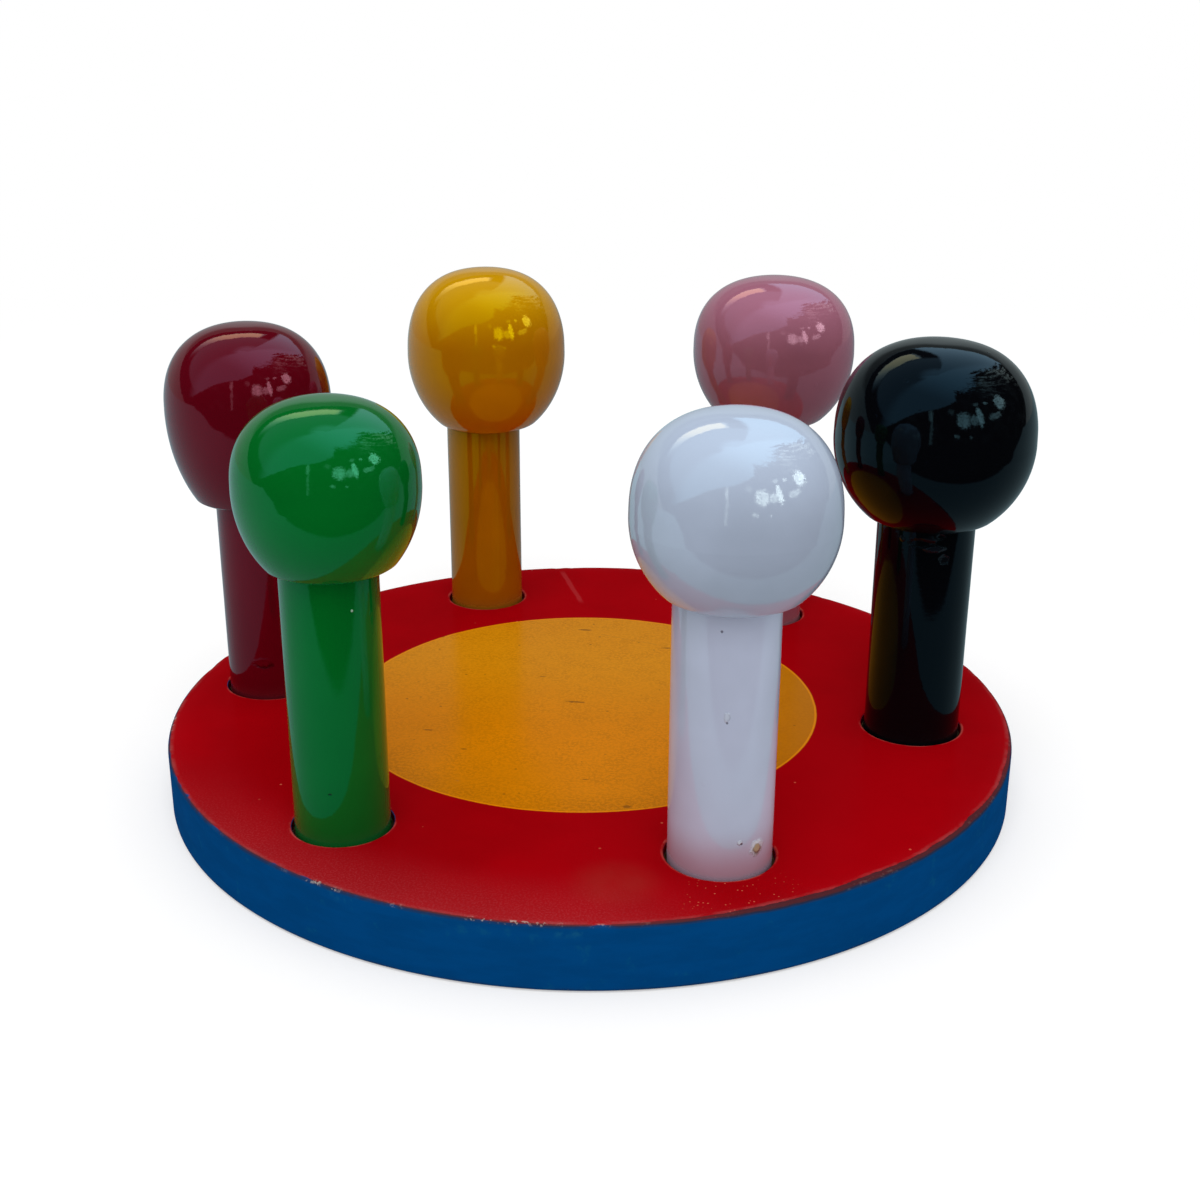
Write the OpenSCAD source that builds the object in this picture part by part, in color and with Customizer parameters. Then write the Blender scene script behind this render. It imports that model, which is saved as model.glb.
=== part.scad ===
// Peg board: a round painted board with six sockets, and a mushroom peg standing in each.
// Millimetres, +Z up. The origin is the middle of the board's underside.
// A peg is a straight dowel stem with a turned ball cap glued on its top end.

/* [Board] */
// Diameter of the round board
board_d = 300; // [240:5:380]
// Thickness of the board
board_t = 22; // [16:0.5:32]
// Rounding of the board's top and bottom edges
edge_round = 1.2; // [0.4:0.1:4]

/* [Sockets] */
// Wood left between a socket and the board's edge
rim_w = 15; // [8:0.5:30]
// How far the ring of sockets was marked out off the board's centre, along X
mark_x = -3; // [-5:0.5:5]
// How far the ring of sockets was marked out off the board's centre, along Y
mark_y = 1.5; // [-5:0.5:5]
// Wood left under a socket
socket_floor = 4.5; // [2:0.5:8]
// Sideways play of a stem in its socket, from side to side
socket_play = 2; // [0.6:0.1:4]
// Width of the worn bevel round a socket's mouth
mouth_bevel = 0.5; // [0.2:0.1:1.5]

/* [Stems] */
// Diameter of the dowel that the stems are cut from
stem_d = 31.5; // [24:0.5:38]
// Height of a head's underside above the board
neck_h = 78; // [50:1:120]
// Bevel on the two ends of a stem
end_bevel = 1.2; // [0.5:0.1:3]

/* [Heads] */
// Diameter of a head at its widest
head_d = 61; // [50:0.5:80]
// Height from a head's underside to where it is widest
skirt_h = 28; // [20:0.5:40]
// Height from where a head is widest to its top
crown_h = 31; // [24:0.5:45]
// Squareness of the crown, where 2 is an ellipse and more is flatter on top
crown_square = 2.4; // [2:0.1:3.2]
// Width of the flat left round the stem under a head
ledge_w = 4.8; // [2:0.2:6]
// How far that flat rises from the stem to its outer edge
ledge_rise = 1.6; // [0.2:0.1:3]
// Depth of the bore that takes the stem
bore_depth = 22; // [14:0.5:28]
// Room for glue round the stem in that bore
glue_gap = 0.1; // [0.05:0.05:0.3]

/* [Lathe work] */
// How far the pegs differ from each other, where 0 makes them all alike
turning = 1; // [0:0.25:1]

/* [Hidden] */

// The pegs in their order round the ring, anticlockwise from +X
BLACK = 0;
PINK = 1;
AMBER = 2;
MAROON = 3;
GREEN = 4;
WHITE = 5;

// What each hand-made peg has over or under the sizes above:
// stem diameter, height of the underside, head diameter, skirt height, crown height, and how far
// the ball sits off its bore's axis, along X
STEM = 0;
NECK = 1;
HEAD = 2;
SKIRT = 3;
CROWN = 4;
ASKEW = 5;
MADE = [
    [ 1.5, -1,  6,    0,    2,  0.5],
    [-0.5,  5,  2.5,  0,   -2,  0],
    [-1.5, -2,  3,    2,    3,  2],
    [ 0.5, -6, -2.5,  5.5, -1, -2],
    [-1.5,  7, -5.5, -3,   -5,  1],
    [ 0.5,  5, -0.5, -4.5,  0,  1.5]
];
PAINT = ["#101014", "#a8566c", "#c08a0c", "#6a0c1c", "#0a6a34", "#c9c9d8"];

PEGS = len(MADE);
BOARD_PAINT = "#a80614";
ring_r = board_d / 2 - rim_w - (stem_d + socket_play) / 2;
socket_depth = board_t - socket_floor;
curve_steps = 14;
ledge_steps = 4;
eps = 0.01;
$fn = 96;

function made(i, size) = MADE[i][size] * turning;
function stem_r(i) = (stem_d + made(i, STEM)) / 2;
function socket_r(i) = stem_r(i) + socket_play / 2;
function bore_r(i) = stem_r(i) + glue_gap;
function head_r(i) = (head_d + made(i, HEAD)) / 2;
function neck_z(i) = board_t + neck_h + made(i, NECK);
function skirt(i) = skirt_h + made(i, SKIRT);
function crown(i) = crown_h + made(i, CROWN);
function stem_top(i) = neck_z(i) + bore_depth;

// A quarter circle of points about a centre, anticlockwise from an angle
function corner(x, y, r, from) =
    [for (k = [0:6]) [x + r * cos(from + 15 * k), y + r * sin(from + 15 * k)]];

// The flat under a head, from the stem out to its edge, rising ever more steeply
function ledge_line(i) =
    [for (k = [0:ledge_steps])
        let (u = k / ledge_steps)
        [bore_r(i) + ledge_w * u, ledge_rise * u * u]];

// The side of a head, from the edge of that flat up to where it is widest: a ball cut off below
function skirt_line(i) =
    let (r = head_r(i), cut = acos((bore_r(i) + ledge_w) / r), h = skirt(i) - ledge_rise)
    [for (k = [1:curve_steps])
        let (a = cut * (1 - k / curve_steps))
        [r * cos(a), skirt(i) - h * sin(a) / sin(cut)]];

// The top of a head, from where it is widest over to the middle: a squared-off dome
function crown_line(i) =
    [for (k = [1:curve_steps])
        let (a = 90 * k / curve_steps)
        [head_r(i) * pow(cos(a), 2 / crown_square),
         skirt(i) + crown(i) * pow(sin(a), 2 / crown_square)]];

module at_socket(i) {
    turn = 360 / PEGS * i;
    translate([mark_x + ring_r * cos(turn), mark_y + ring_r * sin(turn), 0])
        children();
}

// The blind hole that a stem stands in, with the worn bevel at its mouth
module socket(i) {
    translate([0, 0, socket_floor])
        cylinder(r = socket_r(i), h = socket_depth + eps);
    translate([0, 0, board_t - mouth_bevel])
        cylinder(r1 = socket_r(i), r2 = socket_r(i) + mouth_bevel + eps, h = mouth_bevel + eps);
}

module board() {
    reach = board_d / 2 - edge_round;
    color(BOARD_PAINT)
        difference() {
            rotate_extrude()
                polygon(concat(
                    [[0, 0]],
                    corner(reach, edge_round, edge_round, -90),
                    corner(reach, board_t - edge_round, edge_round, 0),
                    [[0, board_t]]));
            for (i = [0:PEGS - 1])
                at_socket(i) socket(i);
        }
}

// A length of dowel from the socket's floor to the end of the head's bore
module stem(i) {
    r = stem_r(i);
    z0 = socket_floor;
    z1 = stem_top(i);
    color(PAINT[i])
        at_socket(i)
            rotate_extrude()
                polygon([
                    [0, z0],
                    [r - end_bevel, z0],
                    [r, z0 + end_bevel],
                    [r, z1 - end_bevel],
                    [r - end_bevel, z1],
                    [0, z1]
                ]);
}

// A turned ball cap, bored to drop over the stem as far as the bore's flat end
module head(i) {
    color(PAINT[i])
        at_socket(i)
            translate([0, 0, neck_z(i)])
                difference() {
                    translate([made(i, ASKEW), 0, 0])
                        rotate_extrude()
                            polygon(concat([[0, 0]], ledge_line(i), skirt_line(i), crown_line(i)));
                    translate([0, 0, -eps])
                        cylinder(r = bore_r(i), h = bore_depth + eps);
                }
}

board();
stem(BLACK);  // stem_black
head(BLACK);  // head_black
stem(PINK);  // stem_pink
head(PINK);  // head_pink
stem(AMBER);  // stem_amber
head(AMBER);  // head_amber
stem(MAROON);  // stem_maroon
head(MAROON);  // head_maroon
stem(GREEN);  // stem_green
head(GREEN);  // head_green
stem(WHITE);  // stem_white
head(WHITE);  // head_white
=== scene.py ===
# %% [markdown]
# A painted wooden peg board, finished on top of its own CAD model. The frame holds every piece at its
# real size, so the finish is all that is added here: turned wood with a hand's small unevenness, and
# paint with its gloss, runs, specks and worn edges. Lengths are in metres and +Z is up.

# %% Load the frame
import math

import bpy
from mathutils import Matrix, Vector


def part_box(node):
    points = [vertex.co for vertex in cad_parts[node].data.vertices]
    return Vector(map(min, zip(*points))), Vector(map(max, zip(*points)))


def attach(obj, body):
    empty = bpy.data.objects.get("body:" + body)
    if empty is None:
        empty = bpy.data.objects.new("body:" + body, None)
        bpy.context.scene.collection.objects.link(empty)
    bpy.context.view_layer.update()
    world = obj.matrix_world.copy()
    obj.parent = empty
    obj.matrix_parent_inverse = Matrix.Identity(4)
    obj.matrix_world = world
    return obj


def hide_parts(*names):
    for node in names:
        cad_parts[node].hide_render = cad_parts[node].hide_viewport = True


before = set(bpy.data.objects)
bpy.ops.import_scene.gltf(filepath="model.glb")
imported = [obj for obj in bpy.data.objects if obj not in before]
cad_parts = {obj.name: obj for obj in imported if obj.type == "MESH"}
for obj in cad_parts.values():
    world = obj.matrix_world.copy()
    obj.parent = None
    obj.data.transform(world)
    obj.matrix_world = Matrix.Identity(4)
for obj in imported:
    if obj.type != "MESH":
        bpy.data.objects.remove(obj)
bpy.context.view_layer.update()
bpy.ops.object.select_all(action="DESELECT")
scene = bpy.context.scene
scene.view_settings.view_transform = "Standard"
MM = 0.001
COLOURS = ["black", "pink", "amber", "maroon", "green", "white"]

# %% [markdown]
# The camera stands where the photographer stood. Its place was worked out from the rims of the board,
# the painted circle and the mouths of the sockets, whose real sizes are known from the frame. A camera
# could also be aimed by eye, but a worked-out one lets a render be laid over the photograph.

# %% Camera
CAMERA_PLACE = Vector((87.7, -536.0, 267.7)) * MM
CAMERA_HEADING = -8.943
CAMERA_DOWN = 20.683
CAMERA_ROLL = 0.196
FOCAL_PIXELS = 1626.9
IMAGE_PIXELS = 1200
SENSOR = 36.0


def aim(heading, down, roll):
    """The camera's turn, from a compass heading off +Y, an angle down and a roll, in degrees."""
    h, d, r = (math.radians(v) for v in (heading, down, roll))
    ahead = Vector((math.sin(h) * math.cos(d), math.cos(h) * math.cos(d), -math.sin(d)))
    right = ahead.cross(Vector((0, 0, 1))).normalized()
    up = right.cross(ahead)
    right, up = right * math.cos(r) + up * math.sin(r), up * math.cos(r) - right * math.sin(r)
    return Matrix((right, up, -ahead)).transposed().to_quaternion()


bpy.ops.object.camera_add(location=CAMERA_PLACE)
camera = bpy.context.object
camera.name = "photo_camera"
camera.rotation_mode = "QUATERNION"
camera.rotation_quaternion = aim(CAMERA_HEADING, CAMERA_DOWN, CAMERA_ROLL)
camera.data.sensor_width = SENSOR
camera.data.lens = SENSOR * FOCAL_PIXELS / IMAGE_PIXELS
scene.camera = camera
print("lens", round(camera.data.lens, 2), "mm")

# %% [markdown]
# Shader maths reads best as ordinary sums. A small class wraps a socket, so that adding or multiplying
# two of them adds the Math node that does it. Every other node comes from one method, which first sets
# the node's own choices and then fills its sockets with numbers or links.

# %% Shader maths: one socket


def full(value):
    """A colour of three numbers gets the fourth that its socket wants."""
    return (*value, 1.0) if isinstance(value, tuple) and len(value) == 3 else value


def set_stops(ramp, stops):
    """Gives a colour ramp its stops, each a place from 0 to 1 and a grey."""
    while len(ramp.elements) > 1:
        ramp.elements.remove(ramp.elements[-1])
    for number, (place, grey) in enumerate(stops):
        stop = ramp.elements[0] if number == 0 else ramp.elements.new(place)
        stop.position = place
        stop.color = (grey, grey, grey, 1.0)


class Wire:
    """One output of a node, with arithmetic."""

    def __init__(self, bench, socket):
        self.bench = bench
        self.socket = socket

    def maths(self, operation, *values):
        return self.bench.node("ShaderNodeMath", {"operation": operation}, dict(enumerate(values)))

    def __add__(self, other):
        return self.maths("ADD", self, other)

    def __sub__(self, other):
        return self.maths("SUBTRACT", self, other)

    def __mul__(self, other):
        return self.maths("MULTIPLY", self, other)

    def __truediv__(self, other):
        return self.maths("DIVIDE", self, other)

    def __radd__(self, other):
        return self.maths("ADD", other, self)

    def __rsub__(self, other):
        return self.maths("SUBTRACT", other, self)

    def __rmul__(self, other):
        return self.maths("MULTIPLY", other, self)

    def least(self, other):
        return self.maths("MINIMUM", self, other)

    def most(self, other):
        return self.maths("MAXIMUM", self, other)

    def size(self):
        return self.maths("ABSOLUTE", self)

    def ramp(self, start, end):
        """0 at start and 1 at end, with a soft change between them. Start may be the higher one."""
        flip = end < start
        values = {"Value": self, "From Min": min(start, end), "From Max": max(start, end)}
        values.update({"To Min": 1.0, "To Max": 0.0} if flip else {"To Min": 0.0, "To Max": 1.0})
        return self.bench.node("ShaderNodeMapRange", {"interpolation_type": "SMOOTHSTEP"}, values)

    def curve(self, stops):
        return self.bench.node("ShaderNodeValToRGB", {"stops": stops}, {"Fac": self})


print("one socket ready")

# %% [markdown]
# The bench is the node tree on which a paint is being made. It knows the place of each point on the
# surface, and it has a short word for each pattern that a painter would name: clouds, specks, a blend
# of two tones, a distance from a spot, and a bump.

# %% Shader maths: the bench


class Bench:
    """A node tree while it is being made."""

    def __init__(self, tree, coordinate="Object"):
        self.tree = tree
        self.tree.nodes.clear()
        self.place = self.node("ShaderNodeTexCoord", out=coordinate)
        self.x, self.y, self.z = self.split(self.place)

    def node(self, kind, choices=None, inputs=None, out=0):
        made = self.tree.nodes.new(kind)
        for name, value in (choices or {}).items():
            if name == "stops":
                set_stops(made.color_ramp, value)
            else:
                setattr(made, name, value)
        for name, value in (inputs or {}).items():
            if isinstance(value, Wire):
                self.tree.links.new(value.socket, made.inputs[name])
            else:
                made.inputs[name].default_value = value
        return Wire(self, made.outputs[out]) if len(made.outputs) else None

    def split(self, vector):
        made = self.node("ShaderNodeSeparateXYZ", inputs={"Vector": vector}).socket.node
        return tuple(Wire(self, output) for output in made.outputs)

    def join(self, x, y, z):
        return self.node("ShaderNodeCombineXYZ", inputs={"X": x, "Y": y, "Z": z})

    def vector(self, operation, *values, out=0):
        return self.node("ShaderNodeVectorMath", {"operation": operation}, dict(enumerate(values)), out)

    def length(self, vector):
        return self.vector("LENGTH", vector, out=1)

    def distance(self, point, stretch=None):
        """How far each place is from a point, after an optional stretch along x, y and z."""
        place, point = self.place, Vector(point)
        if stretch:
            place = self.vector("MULTIPLY", place, stretch)
            point = Vector([a * b for a, b in zip(point, stretch)])
        return self.vector("DISTANCE", place, tuple(point), out=1)

    def distance_across(self, point):
        """How far each place is from an upright line through a point of the plan."""
        return self.vector("DISTANCE", self.join(self.x, self.y, 0.0), (*point, 0.0), out=1)

    def noise(self, scale, detail=2.0, rough=0.5, at=None):
        inputs = {"Vector": at or self.place, "Scale": scale, "Detail": detail, "Roughness": rough}
        return self.node("ShaderNodeTexNoise", inputs=inputs)

    def specks(self, scale, share, size):
        """Dots in some of the cells of a random pattern: share of the cells, size of a cell's width."""
        near = self.node("ShaderNodeTexVoronoi", inputs={"Vector": self.place, "Scale": scale})
        red = self.split(Wire(self, near.socket.node.outputs["Color"]))[0]
        return near.ramp(size, size * 0.6) * red.ramp(share + 0.01, share - 0.01)

    def mix(self, factor, colour, other):
        inputs = {0: factor, 6: full(colour), 7: full(other)}
        return self.node("ShaderNodeMix", {"data_type": "RGBA"}, inputs, out=2)

    def bump(self, height, distance):
        inputs = {"Height": height, "Distance": distance, "Strength": 1.0}
        return self.node("ShaderNodeBump", inputs=inputs)

    def finish(self, surface, kind="ShaderNodeOutputMaterial"):
        self.node(kind, inputs={"Surface": surface})


def new_paint(name):
    """A new material and the bench that its nodes are made on."""
    material = bpy.data.materials.new(name)
    material.use_nodes = True
    return material, Bench(material.node_tree)


print("bench ready")

# %% [markdown]
# The photograph is a cut-out on white, so the floor is plain and reads as white, with only the soft
# shadow that the board throws on it. It has a pale colour of its own for the light that bounces up,
# and a glow that only the camera, reflections and glass see, growing to pure white further out.

# %% Floor
FLOOR_REACH = 9.0
FLOOR_DROP = 0.0003
FLOOR_PALE = (0.62, 0.62, 0.62)
FLOOR_GLOW = 0.42
FLOOR_NEAR = 0.24
FLOOR_FAR = 1.1


def seen_directly(bench):
    """1 for what the camera, a reflection or glass sees, and 0 for light that falls on things."""
    path = bench.node("ShaderNodeLightPath").socket.node.outputs
    seen = [Wire(bench, path[name]) for name in ("Is Camera Ray", "Is Glossy Ray", "Is Transmission Ray")]
    return seen[0].most(seen[1]).most(seen[2])


bpy.ops.mesh.primitive_circle_add(
    vertices=64, radius=FLOOR_REACH, fill_type="NGON", location=(0, 0, -FLOOR_DROP)
)
floor = bpy.context.object
floor.name = "studio_floor"
material, bench = new_paint("studio_floor")
away = bench.length(bench.place).ramp(FLOOR_NEAR, FLOOR_FAR)
pale = bench.node("ShaderNodeBsdfDiffuse", inputs={"Color": full(FLOOR_PALE)})
glow = bench.node("ShaderNodeEmission", inputs={"Strength": seen_directly(bench) * FLOOR_GLOW})
white = bench.node("ShaderNodeEmission", inputs={"Strength": 1.0})
near = bench.node("ShaderNodeAddShader", inputs={0: pale, 1: glow})
far_share = away * seen_directly(bench)
bench.finish(bench.node("ShaderNodeMixShader", inputs={0: far_share, 1: near, 2: white}))
floor.data.materials.append(material)
print("floor reaches", FLOOR_REACH, "m")

# %% [markdown]
# Soft studio light comes from all of the upper half, and from one broad lamp above and in front that
# gives the round heads a lighter and a darker side. Lamps that show in gloss paint look like
# lamps, so this one is hidden from reflections, and the next step gives the gloss something to show.

# %% World and lamp
LIGHT_BELOW = 0.34
LIGHT_ABOVE = 0.62
LAMP_PLACE = Vector((0.1, -1.1, 2.1))
LAMP_TARGET = Vector((0, 0, 0.05))
LAMP_SIZE = 1.6
LAMP_POWER = 17

world = bpy.data.worlds.new("studio")
scene.world = world
world.use_nodes = True
bench = Bench(world.node_tree, "Generated")
soft_light = LIGHT_BELOW + bench.z.ramp(-0.1, 0.9) * LIGHT_ABOVE
seen = seen_directly(bench)
level = soft_light * (1 - seen) + seen
backdrop = bench.node("ShaderNodeBackground", inputs={"Color": (1, 1, 1, 1), "Strength": level})
bench.finish(backdrop, "ShaderNodeOutputWorld")

bpy.ops.object.light_add(type="AREA", location=LAMP_PLACE)
lamp = bpy.context.object
lamp.name = "broad_lamp"
lamp.data.shape = "DISK"
lamp.data.size = LAMP_SIZE
lamp.data.energy = LAMP_POWER
lamp.rotation_mode = "QUATERNION"
lamp.rotation_quaternion = (LAMP_TARGET - LAMP_PLACE).to_track_quat("-Z", "Y")
lamp.visible_camera = False
lamp.visible_glossy = False

# %% [markdown]
# Gloss paint looks glossy only when it has a room to show. A product photographer stands dark and light
# cards round it. Here the cards are painted on a big dome and on a disc under it, which only reflections
# see. They throw no light or shadow, so a card can be moved without changing the light on the paint.

# %% Reflection cards
DOME_REACH = 2.6
DOME_HEIGHT = 0.1
TABLE_REACH = 2.7
TABLE_DROP = 0.0001

bpy.ops.mesh.primitive_uv_sphere_add(
    segments=64, ring_count=32, radius=DOME_REACH, location=(0, 0, DOME_HEIGHT)
)
dome = bpy.context.object
dome.name = "reflection_dome"
bpy.ops.mesh.primitive_circle_add(
    vertices=64, radius=TABLE_REACH, fill_type="NGON", location=(0, 0, -TABLE_DROP)
)
table = bpy.context.object
table.name = "reflection_table"
for card in (dome, table):
    card.visible_camera = False
    card.visible_diffuse = False
    card.visible_transmission = False
    card.visible_volume_scatter = False
    card.visible_shadow = False
print("cards", dome.name, table.name)

# %% [markdown]
# The dome shows an outdoor scene: open sky above, a ragged dark line of leaves in front, and behind it a
# wall, a dark eave and a bright strip between them. Each edge runs all round the horizon, so it is kept
# as a short list of turns and rises in degrees, and a colour ramp draws the curve through them.

# %% Lines round the horizon
TREELINE = [
    (-180, 0), (-152, 5), (-137, 14), (-120, 26), (-105, 33), (-90, 36), (-80, 39), (-70, 43),
    (-61, 46), (-57, 59), (-50, 57), (-12, 58), (5, 61), (24, 60), (34, 54), (43, 44), (50, 34),
    (57, 24), (64, 10), (72, -6), (180, -6),
]
WALL_TOP = [
    (-180, 10), (-160, -6), (20, -10), (33, 6), (45, 19), (60, 29), (75, 33), (90, 32), (100, 33),
    (120, 36), (130, 34), (150, 28), (170, 17), (180, 10),
]
STRIP_LOW = [
    (-180, 19), (-150, 0), (80, 43), (122, 44), (132, 42), (150, 37), (170, 28), (180, 19),
]
STRIP_HIGH = [
    (-180, 30), (-150, 12), (80, 55), (130, 55), (150, 47), (170, 36), (180, 30),
]
LINE_FLOOR = 10
LINE_SPAN = 100
DEGREES = 180 / math.pi
# A noise pattern: its scale, its detail and its roughness
TORN_LEAVES = (9.0, 6.0, 0.8)


def skyline(turn, line):
    """The rise of a line at a turn, in degrees. A ramp holds 0 to 1, so both are scaled into it."""
    stops = [((a + 180) / 360, (e + LINE_FLOOR) / LINE_SPAN) for a, e in line]
    return (turn / 360 + 0.5).curve(stops) * LINE_SPAN - LINE_FLOOR


material, bench = new_paint("reflection_dome")
material.cycles.emission_sampling = "NONE"
x, y, z = bench.split(bench.vector("NORMALIZE", bench.place))
turn = x.maths("ARCTAN2", y, x) * DEGREES
rise = z.maths("ARCSINE", z) * DEGREES
ragged = bench.noise(*TORN_LEAVES) - 0.5
print("treeline from", min(e for _, e in TREELINE), "to", max(e for _, e in TREELINE), "degrees")

# %% [markdown]
# Leaves against the sky are the liveliest thing that gloss paint shows. A clean edge would look like cut
# paper, so the edge is torn by fine noise, and over the nearest tree by long slanting fronds too, with
# small peeks of sky between them. The sky is brightest towards the light.

# %% Sky and leaves
# The cosine and the sine of how far the fronds lean, 36 degrees
LEAN_COS, LEAN_SIN = 0.81, 0.59
RAGGED_RISE = 6
LEAFY_RISE = 30
FROND_RISE = 40
LONG_FRONDS = (1.0, 4.0, 0.65)
NEAR_TREE = ((-66, -56), (84, 62))
PEEKS_FROM, PEEKS_TO = (-30, 4), (74, 58)
PEEKS_LEVEL = 0.8
LIGHT_FROM = (0.45, 0.35, 0.82)
SKY_LEVEL = 0.80
SKY_GLOW = 1.15
SKY_DIM = 0.28

edge = skyline(turn, TREELINE)
along, across = turn * LEAN_COS - rise * LEAN_SIN, turn * LEAN_SIN + rise * LEAN_COS
fronds = bench.noise(*LONG_FRONDS, at=bench.join(along * 0.05, across * 0.30, 0.0))
leafy = turn.ramp(*NEAR_TREE[0]) * turn.ramp(*NEAR_TREE[1])
above = rise - edge + ragged * (RAGGED_RISE + leafy * LEAFY_RISE) + (fronds - 0.5) * leafy * FROND_RISE
open_sky = above.ramp(-0.7, 0.7)
peeks = fronds.ramp(0.47, 0.56) * above.ramp(-30, -4) * turn.ramp(*PEEKS_FROM) * turn.ramp(*PEEKS_TO)
peeks = peeks * (ragged + 0.5).ramp(0.38, 0.58) * PEEKS_LEVEL
toward_light = x * LIGHT_FROM[0] + y * LIGHT_FROM[1] + z * LIGHT_FROM[2]
sky_level = SKY_LEVEL + toward_light.ramp(0.35, 1.0) * SKY_GLOW
sky_level = sky_level * (1 - turn.ramp(38, 56) * SKY_DIM)
print("fronds lean", round(math.degrees(math.atan2(LEAN_SIN, LEAN_COS))), "degrees")

# %% [markdown]
# Under the leaves, light comes through in a few bright openings. Each is a soft ellipse, broken up by
# the same noise as the leaves and by a finer one like twigs, so that no two have the same outline.

# %% Openings under the leaves
# Each opening: turn, rise, half width and half height in degrees, and brightness
OPENINGS = [
    (-96, 28, 2.6, 7, 0.35), (-94, 8, 1.5, 16, 0.18), (-71, 32, 4, 4, 0.12), (-57, 21, 8, 8, 0.7),
    (-45, 19, 5, 5, 0.55), (-37, 22, 3.4, 10, 1.0), (-24, 34, 2.6, 1.8, 0.7), (-37, 36, 4, 1.8, 0.3),
    (-19, 18, 8, 3.0, 0.45), (-5, 28, 7, 6.5, 1.0), (-66, 6, 2.4, 2, 0.4), (-50, 4, 1.6, 1.2, 0.35),
]
OPENING_LEVEL = 5.0
OPENING_TORN = 3.2
FINE_TWIGS = (17.0, 3.0, 0.7)
BEHIND_TWIGS = 0.22

openings = None
for middle, height, wide, tall, brightness in OPENINGS:
    from_middle = bench.join((turn - middle) / wide, (rise - height) / tall, 0.0)
    opening = (bench.length(from_middle) + ragged * OPENING_TORN).ramp(1.14, 0.86) * brightness
    openings = opening if openings is None else openings.most(opening)
twigs = bench.noise(*FINE_TWIGS).ramp(0.40, 0.52)
openings = openings * (BEHIND_TWIGS + twigs * (1 - BEHIND_TWIGS))
print("openings", len(OPENINGS))

# %% [markdown]
# Behind the board stand a wall and, over it, a dark eave. The bright strip between them gives the heads
# their long warm highlight. The masks are built first and the levels laid one over the other after
# that, from the leaves in front to the strip, as one would paint a backdrop.

# %% Wall, eave and strip
BEHIND_RIGHT, BEHIND_LEFT = (10, 30), (-140, -160)
ROOF_FROM = (107, 111)
STRIP_FROM, STRIP_TO = (98, 102), (172, 126)
CRISP = 0.6
LEAF_LEVEL, LEAF_MOTTLE = 0.008, 0.05
WALL_LEVEL, WALL_FOOT, WALL_MOTTLE = 0.10, 0.24, 0.08
EAVE_LEVEL, EAVE_TOP = 0.02, 0.40
STRIP_LEVEL = 2.5
LEAF_TINT = (0.86, 1.0, 0.96)
SKY_TINT = (0.52, 0.83, 1.08)
WALL_TINT = (0.84, 0.98, 1.0)
STRIP_TINT = (0.95, 0.84, 0.52)

behind = turn.ramp(*BEHIND_RIGHT).most(turn.ramp(*BEHIND_LEFT))
roof = (turn + rise * 0.45 + ragged * 6).ramp(*ROOF_FROM).most(turn.ramp(*BEHIND_LEFT))
low_edge, high_edge = skyline(turn, STRIP_LOW), skyline(turn, STRIP_HIGH)
wall_edge = skyline(turn, WALL_TOP) + ragged * 3
eave = (rise - wall_edge).ramp(-CRISP, CRISP) * rise.ramp(84, 74) * roof
strip = (rise - low_edge + ragged * 3).ramp(-CRISP, CRISP)
strip = strip * (rise - high_edge + ragged * 3).ramp(0.8, -0.8)
strip = strip * (turn + ragged * 10).ramp(*STRIP_FROM) * turn.ramp(*STRIP_TO)
wall = (rise - wall_edge).ramp(CRISP, -CRISP) * behind

dark = LEAF_LEVEL + bench.noise(2.6, 3.0).ramp(0.45, 0.75) * LEAF_MOTTLE
level = dark + open_sky.most(peeks) * (sky_level - dark)
level = level + openings * (1 - open_sky) * OPENING_LEVEL
wall_level = WALL_LEVEL + rise.ramp(27, 20) * WALL_FOOT + bench.noise(3.0, 2.0) * WALL_MOTTLE
level = level * (1 - wall) + wall * wall_level
level = level * (1 - eave) + eave * (EAVE_LEVEL + (rise - high_edge).ramp(-2, 3) * EAVE_TOP)
level = level * (1 - strip) + strip * STRIP_LEVEL
tint = bench.mix(wall, bench.mix(open_sky, LEAF_TINT, SKY_TINT), WALL_TINT)
tint = bench.mix(strip, tint, STRIP_TINT)
bench.finish(bench.node("ShaderNodeEmission", inputs={"Color": tint, "Strength": level}))
dome.data.materials.append(material)
print("dome nodes", len(material.node_tree.nodes))

# %% [markdown]
# The stems and the undersides of the heads look down, at the table. Its pale top ends in front of the
# board, at a slant, and a little light is left past that edge so that nothing turns quite black.

# %% Table card
TABLE_TINT = (0.60, 0.90, 1.0)
TABLE_SLANT = 0.48
TABLE_FRONT = 0.275
TABLE_LEVEL = 0.29
TABLE_GLOW = 0.23
PAST_TABLE = 0.02

material, bench = new_paint("reflection_table")
material.cycles.emission_sampling = "NONE"
near_edge = (bench.y - bench.x * TABLE_SLANT + TABLE_FRONT).ramp(-0.01, 0.01)
table_top = near_edge * (TABLE_LEVEL + bench.x.ramp(0.1, -0.4) * TABLE_GLOW)
glow = {"Color": full(TABLE_TINT), "Strength": table_top + PAST_TABLE}
bench.finish(bench.node("ShaderNodeEmission", inputs=glow))
table.data.materials.append(material)
print("table card nodes", len(material.node_tree.nodes))

# %% [markdown]
# Every wooden piece here came off a lathe or out of a round cutter, so one helper turns them all. By
# hand, the outline is drawn as a chain of extruded points and spun once round the axis. Stacked
# cylinders would also give the shape, but a single spun outline keeps the curves free of steps.

# %% Lathe
SAME_PLACE = 0.000002


def only(piece):
    bpy.ops.object.select_all(action="DESELECT")
    piece.select_set(True)
    bpy.context.view_layer.objects.active = piece


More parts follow.
